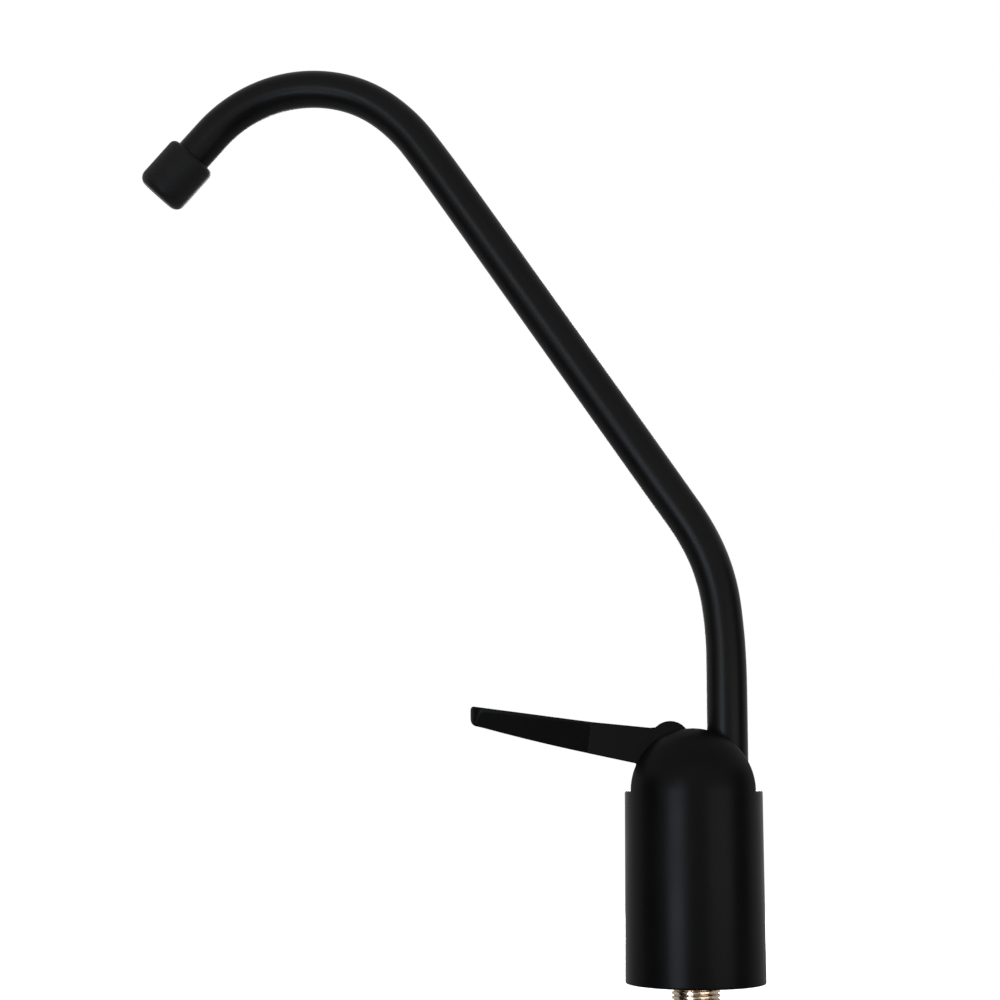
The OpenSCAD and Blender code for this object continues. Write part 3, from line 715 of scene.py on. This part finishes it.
def makeThreadTree():
    sizes = ("Crest", "Depth", "Pitch", "Held", "Low", "High", "Core", "Nut Low", "Nut High", "Chamfer")
    tree, given, out = newTree(
        "threadRidges", "GeometryNodeTree",
        [("Geometry", "NodeSocketGeometry", None)] + [(label, "NodeSocketFloat", 0.001) for label in sizes]
        + [("Crest Share", "NodeSocketFloat", 0.5), ("Root Share", "NodeSocketFloat", 0.9),
           ("Sides", "NodeSocketInt", 48), ("Rings", "NodeSocketInt", 100),
           ("Material", "NodeSocketMaterial", None)],
        [("Geometry", "NodeSocketGeometry")])
    length = calc(tree, "SUBTRACT", given["High"], given["Low"])
    wall = put(tree, "GeometryNodeMeshCylinder",
               {"Vertices": given["Sides"], "Side Segments": given["Rings"], "Radius": given["Crest"],
                "Depth": length}, fill_type="NONE")
    middle = calc(tree, "MULTIPLY", calc(tree, "ADD", given["High"], given["Low"]), 0.5)
    lift = put(tree, "ShaderNodeCombineXYZ", {2: middle})
    lifted = put(tree, "GeometryNodeSetPosition", {"Geometry": wall.outputs[0], "Offset": lift.outputs[0]})
    split = put(tree, "ShaderNodeSeparateXYZ", {0: put(tree, "GeometryNodeInputPosition").outputs[0]}).outputs
    turns = calc(tree, "DIVIDE", calc(tree, "ARCTAN2", split[1], split[0]), 2 * math.pi)
    phase = calc(tree, "FRACT", calc(tree, "SUBTRACT", calc(tree, "DIVIDE", split[2], given["Pitch"]), turns))
    away = calc(tree, "MULTIPLY", calc(tree, "ABSOLUTE", calc(tree, "SUBTRACT", phase, 0.5)), 2.0)
    flank = put(tree, "ShaderNodeMapRange", {"Value": away, "From Min": given["Crest Share"],
                                             "From Max": given["Root Share"]}).outputs[0]
    ridge = calc(tree, "SUBTRACT", given["Crest"], calc(tree, "MULTIPLY", flank, given["Depth"]))
    inNut = calc(tree, "MULTIPLY", calc(tree, "GREATER_THAN", split[2], given["Nut Low"]),
                 calc(tree, "LESS_THAN", split[2], given["Nut High"]))
    hidden = calc(tree, "MAXIMUM", inNut, calc(tree, "GREATER_THAN", split[2], given["Core"]))
    kept = put(tree, "ShaderNodeMapRange", {"Value": hidden, "To Min": ridge,
                                            "To Max": given["Held"]}).outputs[0]
    end = calc(tree, "SUBTRACT", given["Crest"], given["Chamfer"])
    bevel = calc(tree, "ADD", end, calc(tree, "SUBTRACT", split[2], given["Low"]))
    radius = calc(tree, "MINIMUM", kept, bevel)
    share = calc(tree, "DIVIDE", radius, given["Crest"])
    spot = put(tree, "ShaderNodeCombineXYZ", {0: calc(tree, "MULTIPLY", split[0], share),
                                              1: calc(tree, "MULTIPLY", split[1], share), 2: split[2]})
    shaped = put(tree, "GeometryNodeSetPosition",
                 {"Geometry": lifted.outputs[0], "Position": spot.outputs[0]})
    endTree(tree, shaped.outputs[0], given["Material"], out)
    return tree


def foldIn(mesh, form):                             # from the foot's rim up the bore to the top's rim
    work = bmesh.new()
    work.from_mesh(mesh)
    half = (form["low"] + form["high"]) / 2 * mm
    edges = [e for e in work.edges if e.is_boundary and e.verts[0].co.z < half]
    for radius, height in ((form["socket"], form["low"]), (form["socket"], form["socketTop"]),
                           (form["bore"], form["socketTop"]), (form["bore"], form["high"]),
                           (form["held"], form["high"])):
        made = bmesh.ops.extrude_edge_only(work, edges=edges)["geom"]
        edges = [g for g in made if isinstance(g, bmesh.types.BMEdge)]
        for vert in (g for g in made if isinstance(g, bmesh.types.BMVert)):
            flat = Vector((vert.co.x, vert.co.y)).normalized() * radius * mm
            vert.co = (flat.x, flat.y, height * mm)
    work.to_mesh(mesh)
    work.free()


def makeShank(form):
    values = {"Crest": form["crest"], "Depth": form["depth"], "Pitch": form["pitch"], "Held": form["held"],
              "Low": form["low"], "High": form["high"], "Core": form["core"], "Nut Low": form["nutLow"],
              "Nut High": form["nutHigh"], "Chamfer": form["chamfer"]}
    values = {key: value * mm for key, value in values.items()}
    values.update({"Crest Share": form["crestShare"], "Root Share": form["rootShare"], "Sides": form["sides"],
                   "Rings": form["rings"], "Material": finishes["shank_brass"]})
    mesh = runTree("shankSkin", makeThreadTree(), bpy.data.meshes.new("shankBase"), values)
    closeSeams(mesh)
    foldIn(mesh, form)
    closeSeams(mesh)
    shade(mesh, form["sharp"])
    piece = addPiece("shank_skin", mesh, finishes["shank_brass"])
    takeOver(piece, "tap_body", "threaded_shank")
    return piece


shankPiece = makeShank(shankForm)
print("shank skin:", len(shankPiece.data.polygons), "faces")

# return spring: round wire on a helix
springForm = {"coil": 3.225, "wire": 0.4, "low": 23.35, "rise": 8.25, "turns": 5.0, "sides": 12,
              "perTurn": 40, "fixedEnd": 32.0, "keep": 0.82, "sharp": 50}


def makeSpringTree():
    sizes = ("Coil", "Wire", "Low", "Rise", "Turns", "Axis X")
    tree, given, out = newTree(
        "springCoil", "GeometryNodeTree",
        [("Geometry", "NodeSocketGeometry", None)] + [(label, "NodeSocketFloat", 0.001) for label in sizes]
        + [("Per Turn", "NodeSocketInt", 32), ("Sides", "NodeSocketInt", 12),
           ("Material", "NodeSocketMaterial", None)],
        [("Geometry", "NodeSocketGeometry")])
    coil = put(tree, "GeometryNodeCurveSpiral",
               {"Resolution": given["Per Turn"], "Rotations": given["Turns"], "Start Radius": given["Coil"],
                "End Radius": given["Coil"], "Height": given["Rise"]})
    shift = put(tree, "ShaderNodeCombineXYZ", {0: given["Axis X"], 2: given["Low"]})
    placed = put(tree, "GeometryNodeSetPosition", {"Geometry": coil.outputs[0], "Offset": shift.outputs[0]})
    ring = put(tree, "GeometryNodeCurvePrimitiveCircle",
               {"Resolution": given["Sides"], "Radius": given["Wire"]})
    wire = put(tree, "GeometryNodeCurveToMesh", {"Curve": placed.outputs[0], "Profile Curve": ring.outputs[0],
                                                 "Fill Caps": True})
    endTree(tree, wire.outputs[0], given["Material"], out)
    return tree


def makeSpring(form):
    values = {"Coil": form["coil"] * mm, "Wire": form["wire"] * mm, "Low": form["low"] * mm,
              "Rise": form["rise"] * mm, "Turns": form["turns"], "Axis X": stemX * mm,
              "Per Turn": form["perTurn"], "Sides": form["sides"], "Material": finishes["steel"]}
    mesh = runTree("springSkin", makeSpringTree(), bpy.data.meshes.new("springBase"), values)
    closeSeams(mesh)
    shade(mesh, form["sharp"])
    piece = addPiece("spring_skin", mesh, finishes["steel"])
    takeOver(piece, "tap_body", "return_spring")
    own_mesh(piece)
    return piece


springPiece = makeSpring(springForm)
print("spring skin:", len(springPiece.data.polygons), "faces")

# stage, in metres: a pale floor, soft lights, cards that only reflections see, and a white world
stageForm = {"floorSize": 8.0, "floorDrop": 0.0002, "floorTone": 0.82, "floorRough": 0.9, "floorLift": 0.42,
             "skyFill": 0.75}
lightForms = {
    "stripLow": {"place": (-0.171, -0.317, 0.002), "aim": (0, 0, 0.002), "size": (0.15, 0.105),
                 "radiance": 9.2, "colour": (0.78, 0.85, 1.0), "glossy": True},
    "stripHook": {"place": (-0.1972, -0.4867, 0.135), "aim": (0.0607, -0.0353, 0.135), "size": (0.05, 0.13),
                  "radiance": 7.6, "colour": (0.86, 0.92, 1.0), "glossy": True},
    "stripRun": {"place": (-0.2797, -0.4396, 0.17), "aim": (-0.0218, 0.0118, 0.17), "size": (0.14, 0.08),
                 "radiance": 9.0, "colour": (0.86, 0.92, 1.0), "glossy": True,
                 "only": ("spout_skin",)},          # it lights the tube alone
    "softRight": {"place": (0.278, -0.288, 0.010), "aim": (0, 0, 0.010), "size": (0.29, 0.12),
                  "radiance": 2.3, "colour": (1.0, 0.99, 0.98), "glossy": True},
    "backSoft": {"place": (-0.05, 0.9, 0.26), "aim": (-0.03, 0, 0.10), "size": (0.30, 0.44),
                 "radiance": 8.0, "colour": (1.0, 1.0, 1.0), "glossy": True},
    "topSoft": {"place": (-0.35, -0.5, 1.1), "aim": (0, 0, 0.05), "size": (0.9, 0.9),
                "radiance": 1.6, "colour": (1.0, 1.0, 1.0), "glossy": False},
}
cardForms = {
    "cardLeft": {"place": (-0.580, -0.155, 0.10), "aim": (0, 0, 0.10), "size": (0.37, 0.30), "tone": 0.0},
    "cardRight": {"place": (0.597, -0.063, 0.15), "aim": (0, 0, 0.15), "size": (0.36, 0.40), "tone": 0.0},
    "cardFront": {"place": (-0.1, -0.26, -0.0501), "aim": (-0.1, -0.26, 1), "size": (1.1, 0.48), "tone": 0.0},
    "greyLeft": {"place": (-0.80, 0.50, 0.20), "aim": (0, 0.50, 0.20), "size": (1.0, 0.50), "tone": 0.72},
    "greyRight": {"place": (0.80, 0.50, 0.20), "aim": (0, 0.50, 0.20), "size": (1.0, 0.50), "tone": 0.72},
    "greyBack": {"place": (0, 1.00, 0.20), "aim": (0, 0, 0.20), "size": (1.6, 0.50), "tone": 0.72},
    "greyTop": {"place": (0, 0.30, 0.70), "aim": (0, 0.30, 0.0), "size": (1.8, 1.8), "tone": 0.72},
    "greyFloor": {"place": (0, 0.49, -0.0501), "aim": (0, 0.49, 1.0), "size": (1.6, 1.02), "tone": 0.5},
}


def evenTone(name, tone):
    material = bpy.data.materials.new(name)
    material.use_nodes = True
    tree = material.node_tree
    tree.nodes.clear()
    glow = put(tree, "ShaderNodeEmission", {"Color": (tone, tone, tone, 1), "Strength": 1.0})
    tree.links.new(glow.outputs[0], put(tree, "ShaderNodeOutputMaterial").inputs[0])
    return material


def seenStraight(tree):                             # 1 where the camera, a reflection or glass looks at it
    seen = put(tree, "ShaderNodeLightPath").outputs
    shown = calc(tree, "MAXIMUM", seen["Is Camera Ray"], seen["Is Glossy Ray"])
    return calc(tree, "MAXIMUM", shown, seen["Is Transmission Ray"])


def makeFloor(form):
    material = bpy.data.materials.new("paleFloor")
    material.use_nodes = True
    tree = material.node_tree
    paint = tree.nodes["Principled BSDF"]
    paint.inputs["Base Color"].default_value = (form["floorTone"], form["floorTone"], form["floorTone"], 1)
    paint.inputs["Roughness"].default_value = form["floorRough"]
    paint.inputs["Specular IOR Level"].default_value = 0.0
    lift = calc(tree, "MULTIPLY", seenStraight(tree), form["floorLift"])
    glow = put(tree, "ShaderNodeEmission", {"Strength": lift})
    both = put(tree, "ShaderNodeAddShader", {0: paint.outputs[0], 1: glow.outputs[0]})
    below = put(tree, "ShaderNodeNewGeometry").outputs["Backfacing"]    # from below it is seen through
    clear = put(tree, "ShaderNodeBsdfTransparent").outputs[0]
    sides = put(tree, "ShaderNodeMixShader", {0: below, 1: both.outputs[0], 2: clear})
    tree.links.new(sides.outputs[0], tree.nodes["Material Output"].inputs[0])
    half = form["floorSize"] / 2
    height = cadBox[0].z - form["floorDrop"]
    corners = [(-half, -half, height), (half, -half, height), (half, half, height), (-half, half, height)]
    floor = addPiece("floor", meshFrom("floor", corners, [(0, 1, 2, 3)]), material)


def facing(place, aim):
    return (Vector(aim) - Vector(place)).to_track_quat("-Z", "Y").to_matrix().to_4x4()


def makeLights(forms):
    for name, form in forms.items():
        lamp = bpy.data.lights.new(name, "AREA")
        lamp.shape = "RECTANGLE"
        lamp.size, lamp.size_y = form["size"]
        lamp.energy = form["radiance"] * math.pi * form["size"][0] * form["size"][1]
        lamp.color = form["colour"]
        made = bpy.data.objects.new(name, lamp)
        bpy.context.scene.collection.objects.link(made)
        made.matrix_world = Matrix.Translation(form["place"]) @ facing(form["place"], form["aim"])
        made.visible_camera = False
        made.visible_glossy = form["glossy"]
        if "only" in form:
            lit = bpy.data.collections.new(name + "Lit")
            for pieceName in form["only"]:
                lit.objects.link(bpy.data.objects[pieceName])
            made.light_linking.receiver_collection = lit


def makeCards(forms):
    for name, form in forms.items():
        w, h = (s / 2 for s in form["size"])
        turnTo = Matrix.Translation(form["place"]) @ facing(form["place"], form["aim"])
        corners = [turnTo @ Vector(c) for c in ((-w, -h, 0), (w, -h, 0), (w, h, 0), (-w, h, 0))]
        card = addPiece(name, meshFrom(name, corners, [(0, 1, 2, 3)]), evenTone(name, form["tone"]))
        card.visible_camera = False
        card.visible_diffuse = False
        card.visible_shadow = False


def makeWorld(form):
    world = bpy.data.worlds.new("studio")
    bpy.context.scene.world = world
    world.use_nodes = True
    tree = world.node_tree
    tree.nodes.clear()
    strength = put(tree, "ShaderNodeMapRange",
                   {"Value": seenStraight(tree), "To Min": form["skyFill"], "To Max": 1.0})
    sky = put(tree, "ShaderNodeBackground", {"Color": (1, 1, 1, 1), "Strength": strength.outputs[0]})
    tree.links.new(sky.outputs[0], put(tree, "ShaderNodeOutputWorld").inputs[0])


makeFloor(stageForm)
makeLights(lightForms)
makeCards(cardForms)
makeWorld(stageForm)
bpy.context.scene.view_settings.view_transform = "Standard"
print("stage set")
